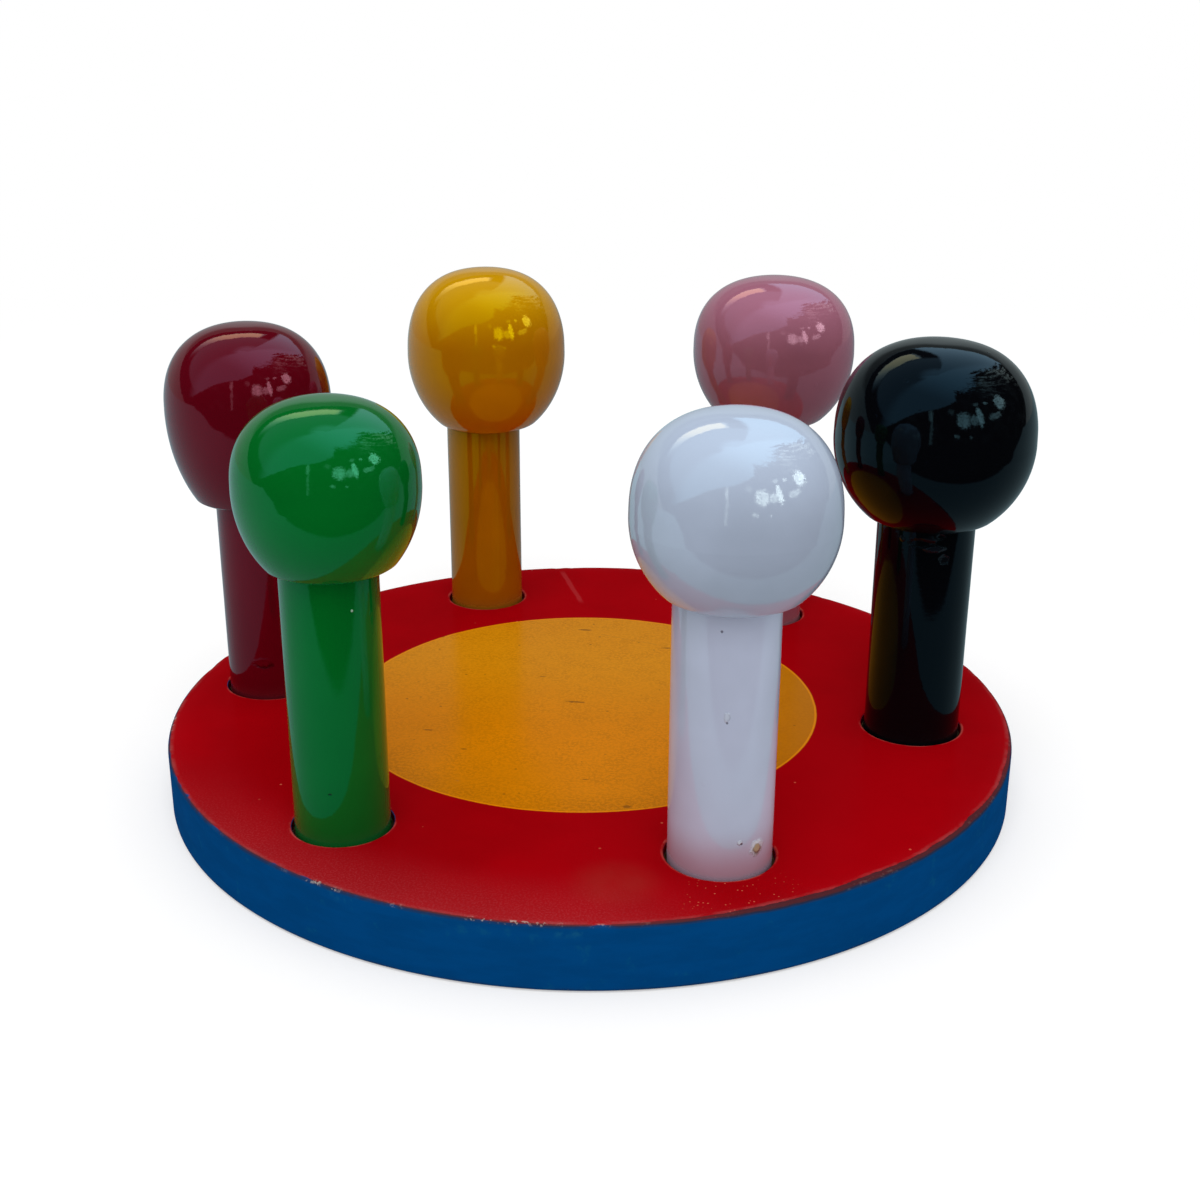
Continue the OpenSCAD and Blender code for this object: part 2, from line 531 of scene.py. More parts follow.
def lathe(name, axis, line, steps):
    """Spins a line of (radius, height) points once round an upright axis, closes its seam, and fills
    each end that stops short of the axis with one flat face."""
    bpy.ops.object.select_all(action="DESELECT")
    first_r, first_z = line[0]
    bpy.ops.mesh.primitive_plane_add(size=MM, location=(axis[0] + first_r, axis[1], first_z))
    piece = bpy.context.object
    piece.name = piece.data.name = name
    bpy.ops.object.transform_apply(location=True, rotation=True, scale=True)
    bpy.ops.object.mode_set(mode="EDIT")
    bpy.ops.mesh.select_all(action="SELECT")
    bpy.ops.mesh.merge(type="CENTER")
    for (r0, z0), (r1, z1) in zip(line, line[1:]):
        bpy.ops.mesh.extrude_vertices_move(TRANSFORM_OT_translate={"value": (r1 - r0, 0, z1 - z0)})
    bpy.ops.mesh.select_all(action="SELECT")
    bpy.ops.mesh.spin(
        steps=steps, angle=math.tau, center=(axis[0], axis[1], 0), axis=(0, 0, 1), use_auto_merge=True
    )
    bpy.ops.mesh.select_all(action="SELECT")
    bpy.ops.mesh.remove_doubles(threshold=SAME_PLACE)
    bpy.ops.mesh.fill_holes(sides=0)
    bpy.ops.mesh.select_all(action="SELECT")
    bpy.ops.mesh.normals_make_consistent(inside=False)
    bpy.ops.object.mode_set(mode="OBJECT")
    return piece


def add_modifier(piece, kind, **choices):
    """Adds a modifier and applies it, as the Apply button does."""
    only(piece)
    modifier = piece.modifiers.new(kind.title(), kind)
    for name, value in choices.items():
        setattr(modifier, name, value)
    bpy.ops.object.modifier_apply(modifier=modifier.name)


def smooth_by_angle(piece, degrees):
    only(piece)
    bpy.ops.object.shade_smooth_by_angle(angle=math.radians(degrees))


def count(piece):
    return sum(len(face.vertices) - 2 for face in piece.data.polygons)


print("lathe ready")

# %% [markdown]
# A worker keeps a few measures of each peg to hand: where its foot, its neck and its crown are, how
# thick its stem is, and the axes of stem and ball. They come from the boxes of the peg's CAD nodes.

# %% Measures of the pegs and the board


class Peg:
    """One peg's measures."""

    def __init__(self, colour):
        head_low, head_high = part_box("head_" + colour)
        stem_low, stem_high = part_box("stem_" + colour)
        self.foot, self.stem_end = stem_low[2], stem_high[2]
        self.neck, self.crown = head_low[2], head_high[2]
        self.radius = (stem_high[0] - stem_low[0]) / 2
        self.axis = ((stem_low[0] + stem_high[0]) / 2, (stem_low[1] + stem_high[1]) / 2)
        self.ball_axis = ((head_low[0] + head_high[0]) / 2, (head_low[1] + head_high[1]) / 2)


PEGS = {colour: Peg(colour) for colour in COLOURS}
board_low, board_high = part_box("board")
BOARD_TOP = board_high[2]
BOARD_R = (board_high[0] - board_low[0]) / 2
for colour, peg in PEGS.items():
    print(colour, "axis", [round(v / MM, 2) for v in peg.axis], "stem", round(2 * peg.radius / MM, 2))

# %% [markdown]
# A curve through the CAD model's own rings gives each head's outline, so a finer piece stands exactly
# where its CAD node does. The rings are read from the node's mesh: the widest radius at each height.

# %% Outlines from the CAD nodes
STRAIGHT = 0.8


def rings_of(node, axis):
    """The (radius, height) of each ring of a turned CAD node, from the bottom up."""
    widest = {}
    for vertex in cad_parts[node].data.vertices:
        radius = math.hypot(vertex.co.x - axis[0], vertex.co.y - axis[1])
        height = round(vertex.co.z, 6)
        widest[height] = max(radius, widest.get(height, 0.0))
    return [(widest[height], height) for height in sorted(widest)]


def turn_at(before, point, after):
    """How sharply a line turns at a point, in degrees."""
    return math.degrees((Vector(point) - Vector(before)).angle(Vector(after) - Vector(point)))


def corners_of(points):
    """Leaves out the points that only divide a straight part of the line."""
    inner = [b for a, b, c in zip(points, points[1:], points[2:]) if turn_at(a, b, c) > STRAIGHT]
    return [points[0]] + inner + [points[-1]]


def smooth_line(points, parts):
    """A Catmull-Rom curve through points, with so many parts between each two. A line that ends on
    the axis goes on to its mirror image there, so that it crosses the axis level."""
    out = []
    beyond = (-points[-2][0], points[-2][1]) if points[-1][0] == 0 else points[-1]
    run = [points[0]] + list(points) + [beyond]
    for k in range(len(points) - 1):
        a, b, c, d = (Vector(point) for point in run[k : k + 4])
        for part in range(parts):
            t = part / parts
            bend = (2 * a - 5 * b + 4 * c - d) * t + (3 * b - a - 3 * c + d) * t * t
            out.append(tuple(b + ((c - a) + bend) * t / 2))
    return out + [tuple(points[-1])]


print("rings of the green head", len(rings_of("head_green", PEGS["green"].ball_axis)))

# %% [markdown]
# A head is a ball turned flat on top and cut off below, where a narrow flat is left round the stem. Its
# outline is spun about the ball's own axis. Where the flat meets the side, four close points ease the
# corner, because sandpaper takes the sharpness off and leaves a line that catches the light.

# %% A head's outline
GLUE_GAP = 0.1 * MM
LEDGE_W = 4.8 * MM
LEDGE_RISE = 1.6 * MM
LEDGE_PARTS = 6
SIDE_PARTS = 5


def between(point, other, share, shift=(0.0, 0.0)):
    return tuple(Vector(point).lerp(Vector(other), share) + Vector(shift))


def head_line(colour):
    """A head's outline before it is bored: over its flat, up its side and over its top to the axis."""
    peg = PEGS[colour]
    bore_r = peg.radius + GLUE_GAP
    flat = [
        (bore_r + LEDGE_W * k / LEDGE_PARTS, peg.neck + LEDGE_RISE * (k / LEDGE_PARTS) ** 2)
        for k in range(LEDGE_PARTS + 1)
    ]
    side = [flat[-1]]
    for radius, height in rings_of("head_" + colour, peg.ball_axis):
        in_bore = abs(height - peg.stem_end) < 0.02 * MM and radius < bore_r + 4 * MM
        if height > flat[-1][1] + 0.1 * MM and not in_bore:
            side.append((radius, height))
    side_line = smooth_line(corners_of(side[:-1] + [(0.0, side[-1][1])]), SIDE_PARTS)
    eased = [
        between(flat[-1], flat[-2], 0.6),
        between(flat[-1], flat[-2], 0.15, (-0.03 * MM, 0.05 * MM)),
        between(side_line[0], side_line[1], 0.25, (-0.03 * MM, 0.0)),
        between(side_line[0], side_line[1], 0.6),
    ]
    line = [(0.0, peg.neck)] + flat[:-1] + eased + side_line[1:-1]
    return line + [(0.0, side_line[-1][1])]


print("points in the green head's outline", len(head_line("green")))

# %% [markdown]
# The bore is drilled after the ball is turned, as the maker did, so it may sit a little off the middle.
# Between the two, a soft cloud pattern sinks the surface by up to a quarter of a millimetre, because a
# hand-rubbed ball isn't quite true, and its reflections show that.

# %% Heads
HEAD_STEPS = 144
BORE_STEPS = 96
HEAD_CLOUDS = 0.03
HEAD_SINK = 0.25 * MM
BORE_START = 3 * MM
HEAD_SMOOTH = 50


def uneven(piece, size, depth):
    """Sinks the surface by a soft cloud pattern, never outwards."""
    clouds = bpy.data.textures.new(piece.name + "_clouds", "CLOUDS")
    clouds.noise_scale = size
    clouds.noise_depth = 1
    add_modifier(piece, "DISPLACE", texture=clouds, texture_coords="LOCAL", strength=depth, mid_level=1.0)


def cut_away(piece, cutter):
    """Takes a cutter's shape out of a piece, throws the cutter away, and merges the slivers it leaves."""
    add_modifier(piece, "BOOLEAN", object=cutter, operation="DIFFERENCE", solver="EXACT")
    bpy.data.objects.remove(cutter)
    bpy.ops.object.mode_set(mode="EDIT")
    bpy.ops.mesh.select_all(action="SELECT")
    bpy.ops.mesh.remove_doubles(threshold=SAME_PLACE)
    bpy.ops.object.mode_set(mode="OBJECT")


def bore_cutter(colour):
    peg = PEGS[colour]
    radius, start = peg.radius + GLUE_GAP, peg.neck - BORE_START
    line = [(0.0, start), (radius, start), (radius, peg.stem_end), (0.0, peg.stem_end)]
    return lathe("bore_cutter", peg.axis, line, BORE_STEPS)


heads = {}
for colour in COLOURS:
    head = lathe("turned_head_" + colour, PEGS[colour].ball_axis, head_line(colour), HEAD_STEPS)
    uneven(head, HEAD_CLOUDS, HEAD_SINK)
    cut_away(head, bore_cutter(colour))
    smooth_by_angle(head, HEAD_SMOOTH)
    heads[colour] = head
print("heads", {c: count(h) for c, h in heads.items()})

# %% [markdown]
# A stem is a straight length of dowel with its two ends bevelled. The rings up its length carry the
# slight hollows that sanding leaves. A plain cylinder would be dead straight, and a glossy one shows it.

# %% Stems
STEM_STEPS = 96
STEM_RING = 4 * MM
STEM_BEVEL = 1.2 * MM
STEM_CLOUDS = 0.022
STEM_SINK = 0.12 * MM
STEM_SMOOTH = 30

stems = {}
for colour, peg in PEGS.items():
    low, high = peg.foot, peg.stem_end
    rings = round((high - low - 2 * STEM_BEVEL) / STEM_RING)
    body = [low + STEM_BEVEL + (high - low - 2 * STEM_BEVEL) * k / rings for k in range(rings + 1)]
    line = [(0.0, low), (peg.radius - STEM_BEVEL, low)] + [(peg.radius, height) for height in body]
    line += [(peg.radius - STEM_BEVEL, high), (0.0, high)]
    stem = lathe("dowel_stem_" + colour, peg.axis, line, STEM_STEPS)
    uneven(stem, STEM_CLOUDS, STEM_SINK)
    smooth_by_angle(stem, STEM_SMOOTH)
    stems[colour] = stem
print("stems", {c: count(s) for c, s in stems.items()})

# %% [markdown]
# The board is one disc with its edges just broken. It is spun as the pegs are, with a band of fine rings
# at its top edge. A rougher cloud pattern knocks that band in, where years of use chipped it. A vertex
# group holds the chips to the edge, because the flat top must stay flat.

# %% Board
BOARD_STEPS = 540
EDGE_ROUND = 1.2 * MM
SIDE_HEIGHTS = (5, 9, 13, 16, 18, 19, 19.8)
TOP_STEPS = (0.4, 0.9, 1.5, 2.3, 3.4)
CHIP_REACH = 2.6 * MM
CHIP_SIZE = 0.006
CHIP_DEPTH = 0.4 * MM


def arc(centre_r, centre_z, radius, start, end, parts):
    angles = [math.radians(start + (end - start) * k / parts) for k in range(parts + 1)]
    return [(centre_r + radius * math.cos(a), centre_z + radius * math.sin(a)) for a in angles]


reach = BOARD_R - EDGE_ROUND
line = [(reach - 3 * MM, 0.0)] + arc(reach, EDGE_ROUND, EDGE_ROUND, -90, 0, 5)
line += [(BOARD_R, height * MM) for height in SIDE_HEIGHTS]
line += arc(reach, BOARD_TOP - EDGE_ROUND, EDGE_ROUND, 0, 90, 8)
line += [(reach - step * MM, BOARD_TOP) for step in TOP_STEPS]
board = lathe("painted_board", (0, 0), line, BOARD_STEPS)

edge_band = board.vertex_groups.new(name="edge")
for vertex in board.data.vertices:
    from_corner = math.hypot(math.hypot(vertex.co.x, vertex.co.y) - BOARD_R, vertex.co.z - BOARD_TOP)
    edge_band.add([vertex.index], max(0.0, 1.0 - from_corner / CHIP_REACH), "REPLACE")
chips = bpy.data.textures.new("edge_chips", "CLOUDS")
chips.noise_scale = CHIP_SIZE
chips.noise_depth = 2
chips.use_color_ramp = True
set_stops(chips.color_ramp, [(0.20, 0.0), (0.42, 1.0)])
add_modifier(
    board, "DISPLACE", texture=chips, texture_coords="LOCAL", strength=CHIP_DEPTH, mid_level=1.0,
    vertex_group="edge",
)
print("disc", count(board), "triangles")

# %% [markdown]
# Only then are the sockets cut with a Boolean, as a drill would, each to its own stem's size and play.
# The cutter's shoulder eases the mouth, where sandpaper and many pegs have rounded it. Weighted normals
# keep the big flat top flat in the light, right up to the small faces at each mouth.

# %% Sockets
SOCKET_PLAY = 2.0 * MM
SOCKET_FLOOR = PEGS["black"].foot
SOCKET_STEPS = 120
MOUTH_W = 0.66 * MM
CUTTER_ABOVE = 4 * MM
BOARD_SMOOTH = 32


def socket_cutter(colour):
    """The round cutter that leaves a peg's socket: straight sides and an eased mouth."""
    radius = PEGS[colour].radius + SOCKET_PLAY / 2
    outline = [(0.0, SOCKET_FLOOR), (radius, SOCKET_FLOOR), (radius, BOARD_TOP - 0.5 * MM)]
    outline += [(radius + 0.12 * MM, BOARD_TOP - 0.24 * MM), (radius + 0.3 * MM, BOARD_TOP - 0.09 * MM)]
    outline += [(radius + MOUTH_W, BOARD_TOP + 0.06 * MM), (radius + MOUTH_W, BOARD_TOP + CUTTER_ABOVE)]
    outline += [(0.0, BOARD_TOP + CUTTER_ABOVE)]
    return lathe("socket_cutter", PEGS[colour].axis, outline, SOCKET_STEPS)


for colour in COLOURS:
    cut_away(board, socket_cutter(colour))
smooth_by_angle(board, BOARD_SMOOTH)
add_modifier(board, "WEIGHTED_NORMAL", mode="FACE_AREA", weight=90, keep_sharp=True)
print("board", count(board), "triangles")

# %% [markdown]
# The pegs were brushed with thick gloss enamel, each in its own colour. A table for each property keeps
# the six side by side, as tins on a shelf. Tones are the light that the shader wants; where one was
# picked on a screen, a helper turns it into that.

# %% Colours of the enamel


def paint(red, green, blue):
    """A colour as a screen shows it, 0 to 255, as the light that the shader wants."""

    def light(v):
        v /= 255.0
        return v / 12.92 if v <= 0.04045 else ((v + 0.055) / 1.055) ** 2.4

    return (light(red), light(green), light(blue))


def darker(tone, share):
    return tuple(v * share for v in tone)


ENAMEL = {
    "black": (0.0013, 0.0014, 0.0022),
    "pink": (0.28, 0.092, 0.130),
    "amber": (0.485, 0.176, 0.0005),
    "maroon": (0.106, 0.0008, 0.006),
    "green": (0.0006, 0.130, 0.014),
    "white": (0.425, 0.495, 0.63),
}
# Two stems have a tone of their own: the amber one is darker, as painted shade under its head, and the
# white one is lighter
STEM_TONE_AND_SHADE = {"amber": (0.33, 0.108, 0.0004), "white": (0.56, 0.61, 0.78)}
# Lighter tones painted on three crowns, as painted light from above
CROWN_PAINTED_LIGHT = {"pink": (0.39, 0.145, 0.215), "white": (0.50, 0.59, 0.75), "amber": (0.63, 0.315, 0.0006)}
# A pink tone painted low on the white foot, as a painted reflection of the red board
RED_BOARD_REFLECTION = {"white": (0.40, 0.22, 0.29)}
# How strongly each enamel mirrors, as its index of refraction
DEPTH = {"black": 1.31, "pink": 1.85, "amber": 1.95, "maroon": 1.62, "green": 1.65, "white": 1.95}
# The tone of that mirror image
SHINE = {
    "black": (0.40, 0.78, 1.0),
    "pink": (1.0, 0.50, 0.66),
    "amber": (1.0, 0.74, 0.0),
    "maroon": (1.0, 0.34, 0.48),
    "green": (0.20, 1.0, 0.64),
    "white": (0.96, 1.0, 1.0),
}
# Where a foot has rubbed in its socket, and how much of it
RUBBED = {
    "black": (0.05, 0.045, 0.045),
    "pink": (0.42, 0.22, 0.22),
    "amber": (0.26, 0.11, 0.02),
    "maroon": (0.20, 0.04, 0.04),
    "green": (0.03, 0.12, 0.04),
    "white": (0.30, 0.24, 0.25),
}
DIRT = {"black": 0.02, "pink": 0.3, "amber": 0.35, "maroon": 0.15, "green": 0.3, "white": 0.14}
print("enamels", len(ENAMEL))

# %% [markdown]
# Each peg has marks of its own: a chip down to the filler on the white foot, blobs where paint ran into
# the black neck, a dull ring on the maroon stem. Every one is a soft spot with a tone and a height.

# %% Marks on the pegs
CHIP_TAN = paint(176, 162, 132)
# Each mark: place in mm, radius in mm, stretch along x, y and z, tone, and height in mm
MARKS = {
    "white": [
        ((67.75, -111.68, 30.6), 3.0, (1, 1, 1), paint(214, 218, 228), 0.35),
        ((68.0, -111.68, 30.2), 2.2, (1, 1, 1), paint(112, 108, 104), -0.10),
        ((67.9, -111.68, 30.5), 1.7, (1, 1, 1), CHIP_TAN, 0.20),
        ((63.1, -115.3, 33.7), 0.9, (1, 1, 1), paint(205, 212, 226), 0.25),
        ((63.6, -115.1, 33.1), 0.5, (1, 1, 1), paint(110, 112, 126), -0.1),
        ((58.2, -116.8, 74.1), 1.1, (1, 1, 0.6), paint(196, 204, 222), 0.28),
        ((58.3, -116.8, 72.4), 0.5, (1, 1, 1), paint(118, 120, 138), -0.06),
        ((56.0, -116.9, 100.2), 0.5, (1, 1, 1), paint(120, 122, 140), -0.1),
    ],
    "green": [
        ((-51.9, -111.9, 97.7), 0.5, (1, 1, 1), paint(170, 200, 180), 0.1),
        ((-60.6, -115.8, 39.2), 0.5, (0.7, 1, 1.3), paint(2, 50, 20), -0.1),
        ((-41.1, -117.8, 137.5), 0.5, (1, 1, 1), paint(6, 60, 30), -0.1),
    ],
    "black": [
        ((113.0, -15.0, 95.2), 2.4, (0.45, 1, 1.3), paint(4, 5, 7), -0.6),
        ((118.0, -14.8, 93.4), 2.2, (0.5, 1, 1.6), paint(14, 18, 24), 0.6),
        ((121.5, -14.0, 89.5), 1.6, (0.7, 1, 0.8), paint(8, 10, 14), -0.5),
        ((116.0, -15.0, 96.8), 1.6, (0.6, 1, 1.4), paint(10, 13, 18), 0.5),
        ((119.6, -14.5, 97.6), 1.3, (0.7, 1, 1.2), paint(5, 6, 9), -0.4),
        ((107.0, -13.2, 96.0), 1.2, (1, 1, 1), paint(12, 14, 18), 0.4),
    ],
    "maroon": [
        ((-118.3, -14.4, 35.2), 2.6, (0.55, 1, 1.5), paint(50, 2, 6), -0.1),
        ((-118.9, -14.3, 36.2), 2.5, (0.6, 1, 1.3), ENAMEL["maroon"], 0.1),
        ((-135.2, -6.3, 51.9), 0.9, (1, 1, 0.7), paint(46, 6, 10), -0.2),
    ],
    "amber": [((-57.5, 73.5, 139.3), 0.4, (1, 1, 1), paint(120, 70, 8), -0.05)],
    "pink": [],
}
print("marks", {colour: len(marks) for colour, marks in MARKS.items()})

# %% [markdown]
# An enamel is laid on in steps, so a small record holds what they share: the masks, and the colour and
# height so far. First comes the tone, in clouds of a lighter and a deeper one, with a lighter crown
# painted in as light from above. Then a dark line fills the joint between head and stem.

# %% Enamel: tone and joint
CROWN_LIGHT_DEPTH = 26 * MM
JOINT_SOFT = (0.55 * MM, 0.1 * MM)
JOINT_DARK = 0.35
# Each pattern: its scale, its detail and its roughness
SOFT_CLOUDS = (26, 3.0, 0.55)
FINE_PEEL = (700, 3.0, 0.6)
DEEPER, LIGHTER = 0.93, 1.06


class Coat:
    """One peg's enamel while it is being laid on. Its height is in millimetres."""

    def __init__(self, colour):
        self.colour, self.peg, self.tone = colour, PEGS[colour], ENAMEL[colour]
        self.material, self.bench = new_paint(colour + "_enamel")
        bench, peg = self.bench, self.peg
        self.from_axis = bench.length(bench.join(bench.x - peg.axis[0], bench.y - peg.axis[1], 0.0))
        self.on_stem = bench.z.ramp(peg.neck + 0.2 * MM, peg.neck - 0.2 * MM)
        self.patch = bench.noise(*SOFT_CLOUDS)
        self.fine = bench.noise(*FINE_PEEL)
        self.look = self.height = None

    def cover(self, mask, tone):
        self.look = self.bench.mix(mask, self.look, tone)

    def shade(self, share):
        """The head's tone and the stem's own, which holds painted shade on the amber stem, both by the
        same share.
        """
        own = STEM_TONE_AND_SHADE.get(self.colour, self.tone)
        return self.bench.mix(self.on_stem, darker(self.tone, share), darker(own, share))


def lay_tone(coat):
    bench, peg = coat.bench, coat.peg
    coat.look = bench.mix(coat.patch.ramp(0.3, 0.7), coat.shade(DEEPER), coat.shade(LIGHTER))
    # The top of the head is painted lighter, as painted light from above.
    lit_crown = (bench.z + coat.patch * 8 * MM).ramp(peg.crown - CROWN_LIGHT_DEPTH, peg.crown)
    coat.cover(lit_crown, CROWN_PAINTED_LIGHT.get(coat.colour, coat.tone))


def lay_joint(coat):
    near_neck = (coat.bench.z - coat.peg.neck).size().ramp(*JOINT_SOFT)
    stem_r = coat.peg.radius
    coat.joint = near_neck * coat.from_axis.ramp(stem_r + 1.4 * MM, stem_r + 0.4 * MM)
    coat.cover(coat.joint * 0.75, darker(coat.tone, JOINT_DARK))


print("tone and joint ready")

# %% [markdown]
# Then comes wear. A foot is rubbed and dirty where it goes in and out of its socket, the white one has
# a painted reflection of the red board low on it, and the end of each stem and the bore of each head were
# never painted. Those show bare wood, with its grain drawn out along the peg.

# %% Enamel: dirt and bare wood
FOOT_GRAIN = (420, 3.0, 0.6)
GRAIN_STRETCH = 0.16
DIRT_TOP, DIRT_FULL = 9 * MM, -2 * MM
REFLECTION_TOP, REFLECTION_FULL = 19 * MM, 3 * MM
WOOD_DEEP = (0.30, 0.17, 0.08)
WOOD_PALE = (0.56, 0.38, 0.21)
BARE_FOOT = 2.0 * MM


def lay_dirt_and_reflection(coat):
    bench = coat.bench
    low = bench.z.ramp(BOARD_TOP + DIRT_TOP, BOARD_TOP + DIRT_FULL)
    dirt = (low * 0.8 + coat.patch * 0.7 + coat.fine * 0.2 - 0.5).ramp(0.1, 0.9)
    coat.dirt = dirt * coat.on_stem * low.ramp(0.0, 0.5)
    coat.cover(coat.dirt * DIRT[coat.colour], RUBBED[coat.colour])
    # The white foot has the red board's reflection painted low on it.
    if coat.colour in RED_BOARD_REFLECTION:
        board_reflection = (bench.z + coat.patch * 6 * MM).ramp(BOARD_TOP + REFLECTION_TOP, BOARD_TOP + REFLECTION_FULL)
        coat.cover(board_reflection * coat.on_stem * 0.75, RED_BOARD_REFLECTION[coat.colour])


def leave_bare(coat):
    bench, peg = coat.bench, coat.peg
    grain = bench.noise(*FOOT_GRAIN, at=bench.join(bench.x, bench.y, bench.z * GRAIN_STRETCH))
    wood = bench.mix(grain.ramp(0.3, 0.7), WOOD_DEEP, WOOD_PALE)
    foot = peg.foot + BARE_FOOT
    coat.bare = (bench.z + (grain - 0.5) * 3.5 * MM).ramp(foot + 0.6 * MM, foot)
    coat.cover(coat.bare, wood)
    inside = coat.from_axis.ramp(peg.radius + 0.4 * MM, peg.radius + 0.2 * MM)
    inside = inside * bench.z.ramp(peg.neck + 0.6 * MM, peg.neck + 1.2 * MM)
    coat.inside = inside * bench.z.ramp(peg.stem_end + 2 * MM, peg.stem_end + MM)
    coat.cover(coat.inside, wood)


print("dirt and bare wood ready")

# %% [markdown]
# Up close, brushed enamel has a fine orange peel, long soft waves, runs down the stems and a few specks
# of dust. All of that is height and none of it is colour, so it goes into the bump alone. Only the
# marks have both.

# %% Enamel: relief and marks
PEEL = 0.008
WAVES = 0.07
RUNS = 0.075
NIBS = 0.03
DIRT_SINK = 0.01
COARSE_PEEL = (330, 1.0)
LONG_WAVES = (48, 1.0)
BRUSH_RUNS = (120, 1.0, 0.4)
RUN_STRETCH = 0.10
# Specks: their scale, their share of the cells and their size
DUST_NIBS = (230, 0.03, 0.22)


def raise_relief(coat):
    bench = coat.bench
    height = (coat.fine - 0.5) * PEEL * 1.5 + bench.noise(*COARSE_PEEL) * PEEL
    height = height + bench.noise(*LONG_WAVES) * WAVES
    drawn_down = bench.join(bench.x, bench.y, bench.z * RUN_STRETCH)
    runs = bench.noise(*BRUSH_RUNS, at=drawn_down).ramp(0.35, 0.85)
    height = height + runs * coat.on_stem * RUNS
    coat.height = height + bench.specks(*DUST_NIBS) * NIBS - coat.dirt * DIRT_SINK


def add_marks(coat):
    for at, radius, stretch, tone, rise in MARKS[coat.colour]:
        near = coat.bench.distance(Vector(at) * MM, stretch) + (coat.fine - 0.5) * radius * 0.9 * MM
        spot = near.ramp(radius * MM, radius * 0.55 * MM)
        coat.cover(spot, tone)
        coat.height = coat.height + spot * rise


print("relief and marks ready")

# %% [markdown]
# The last step is the skin. Hands leave dull smudges, and bare wood doesn't shine at all, so roughness
# varies over the surface. The tint of the mirror image is plain for each enamel, because thick old
# paint gives back the sky in its own colour.

# %% Enamel: skin
GLOSSY = 0.045
SMUDGED = 0.06
HAND_SMUDGES = (34, 4.0, 0.6)


def enamel(colour):
    coat = Coat(colour)
    lay_tone(coat)
    lay_joint(coat)
    lay_dirt_and_reflection(coat)
    raise_relief(coat)
    add_marks(coat)
    leave_bare(coat)
    bench = coat.bench
    smudge = bench.noise(*HAND_SMUDGES).ramp(0.48, 0.78)
    rough = GLOSSY + smudge * SMUDGED + coat.dirt * 0.30
    rough = rough + coat.bare * 0.6 + coat.inside * 0.6 + coat.joint * 0.2
    skin = {
        "Base Color": coat.look,
        "Roughness": rough.least(0.9),
        "Normal": bench.bump(coat.height, MM),
        "IOR": DEPTH[colour],
        "Specular Tint": full(SHINE[colour]),
    }
    bench.finish(bench.node("ShaderNodeBsdfPrincipled", inputs=skin))
    return coat.material


for colour in COLOURS:
    peg_paint = enamel(colour)
    for piece in (heads[colour], stems[colour]):
        piece.data.materials.clear()
        piece.data.materials.append(peg_paint)
print("nodes in the last enamel", len(peg_paint.node_tree.nodes))

# %% [markdown]
# The board is painted in three plain colours: red on top, a yellow circle masked off in the middle, and
# blue round the edge, over bare wood underneath. The paint is satin. One bench makes all of it, and
# three noises are shared by every layer, so that a worn place is worn in all of them at once.

# %% Board paint: colours and shared patterns
RED = (0.345, 0.0002, 0.0032)
YELLOW = (0.69, 0.217, 0.0003)
YELLOW_PAINTED_SHEEN = (0.66, 0.266, 0.0045)
BLUE = (0.0001, 0.062, 0.222)
UNDERCOAT = paint(70, 38, 44)
NAVY = paint(36, 42, 62)
FILLER = paint(186, 172, 164)
# Each pattern: its scale, its detail and its roughness
FINE = (620, 4.0, 0.65)
COARSE = (95, 4.0, 0.6)
BROAD = (14, 4.0, 0.6)

material, bench = new_paint("board_paint")
x, y, z = bench.x, bench.y, bench.z
radius = bench.length(bench.join(x, y, 0.0))
turn = x.maths("ARCTAN2", y, x) * DEGREES
fine = bench.noise(*FINE)
coarse = bench.noise(*COARSE)
broad = bench.noise(*BROAD)
print("patterns at", FINE[0], COARSE[0], BROAD[0], "per metre")

# %% [markdown]
# The red is the plainest coat. Near the front edge, where it is handled most, it has a salty haze. It
# also has one rubbed patch and a dusting of pale specks beside the white peg.

# %% Board paint: red
HAZE_TONE = paint(186, 78, 84)
HAZE_FROM, HAZE_TO = (-158, -120), (-62, -84)
HAZE_BAND, HAZE_EDGE = (0.118, 0.149), (0.141, 0.150)
SALT = (1500, 2.0, 0.7)
PATCH_AT = (0.0276, -0.124, BOARD_TOP)
PATCH_TONE = paint(150, 60, 50)
DUST_AT = (0.066, -0.1275, BOARD_TOP)
DUST_TONE = paint(214, 104, 76)
# Specks: their scale, their share of the cells and their size
THICK_DUST = (760, 0.40, 0.24)
STRAY_DUST = (300, 0.012, 0.16)

haze = radius.ramp(*HAZE_BAND) * turn.ramp(*HAZE_FROM) * turn.ramp(*HAZE_TO)
salt = bench.noise(*SALT).ramp(0.46, 0.66)
haze = (haze * 0.85 + radius.ramp(*HAZE_EDGE) * 0.14) * (0.35 + salt * 0.65)
red = bench.mix(broad.ramp(0.3, 0.7), darker(RED, 0.88), darker(RED, 1.07))
red = bench.mix(haze * 0.34, red, HAZE_TONE)
patch = bench.distance(PATCH_AT).ramp(0.017, 0.004)
red = bench.mix(patch * coarse * 0.35, red, PATCH_TONE)
dust = bench.specks(*THICK_DUST) * bench.distance(DUST_AT).ramp(0.022, 0.010)
dust = dust.most(bench.specks(*STRAY_DUST))
red = bench.mix(dust * 0.75, red, DUST_TONE)
print("red laid, dust round", [round(v / MM, 1) for v in DUST_AT[:2]], "mm")

# %% [markdown]
# The yellow circle was masked off by hand, so its edge wanders a little, and paint stood up along the
# tape as a rim. Years of sand have ground dark grit into it, most of all along its near side.

# %% Board paint: yellow circle
CIRCLE_AT = (-3.2 * MM, 1.1 * MM)
CIRCLE_R = 85.25 * MM
MASKING = 0.14 * MM
TAPE_WANDER = (38, 2.0)
GRIT = (900, 3.0, 0.75)
GRIT_SPECKS = (430, 0.035, 0.26)
GRIT_TONE = paint(118, 72, 16)
NEAR_FROM, NEAR_TO = (-170, -120), (-10, -50)

